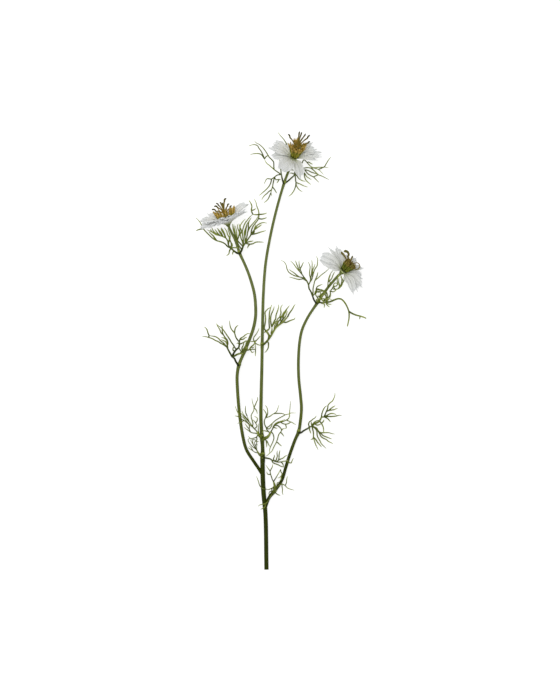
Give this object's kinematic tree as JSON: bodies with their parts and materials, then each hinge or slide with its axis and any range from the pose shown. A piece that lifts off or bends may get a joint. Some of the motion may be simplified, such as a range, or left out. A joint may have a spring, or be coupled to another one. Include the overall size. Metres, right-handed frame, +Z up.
{
  "type": "love in a mist flower",
  "caption": "Cut love-in-a-mist stem lying flat: branched green stem, feathery thread leaves and bracts, white semi-double blooms with olive stamens and horned pistils.",
  "frame": {"origin": "middle of the bounding box, on the flat surface the cut stem lies on", "axes": "+Y runs along the stem from the cut end to the top bloom, +Z is up from the surface, +X completes the frame to the right of the stem seen from above"},
  "size_m": [0.1714, 0.4384, 0.0487],
  "materials": {
    "stem": "fresh plant stem, smooth and slightly waxy",
    "leaves": "fresh thread leaves, matt",
    "bracts": "fresh thread bracts, matt",
    "petals": "thin white petals with soft lengthwise veins, matt",
    "stamens": "olive filaments and orange-brown anthers, matt",
    "pistil": "green ribbed seed capsule with horn-like styles"
  },
  "bodies": {
    "root": {"stem": "stem", "petals_top": "petals", "stamens_top": "stamens", "pistil_top": "pistil", "petals_left": "petals", "stamens_left": "stamens", "pistil_left": "pistil", "petals_right": "petals", "stamens_right": "stamens", "pistil_right": "pistil", "leaf_axil": "leaves", "leaf_low_right": "leaves", "leaf_low_left": "leaves", "leaf_middle_left": "leaves", "leaf_middle_right": "leaves", "leaf_right": "leaves", "leaf_left": "leaves", "leaf_left_upper": "leaves", "leaf_upper": "leaves", "bracts_top": "bracts", "bracts_left": "bracts", "bracts_right": "bracts"}
  },
  "joints": []
}
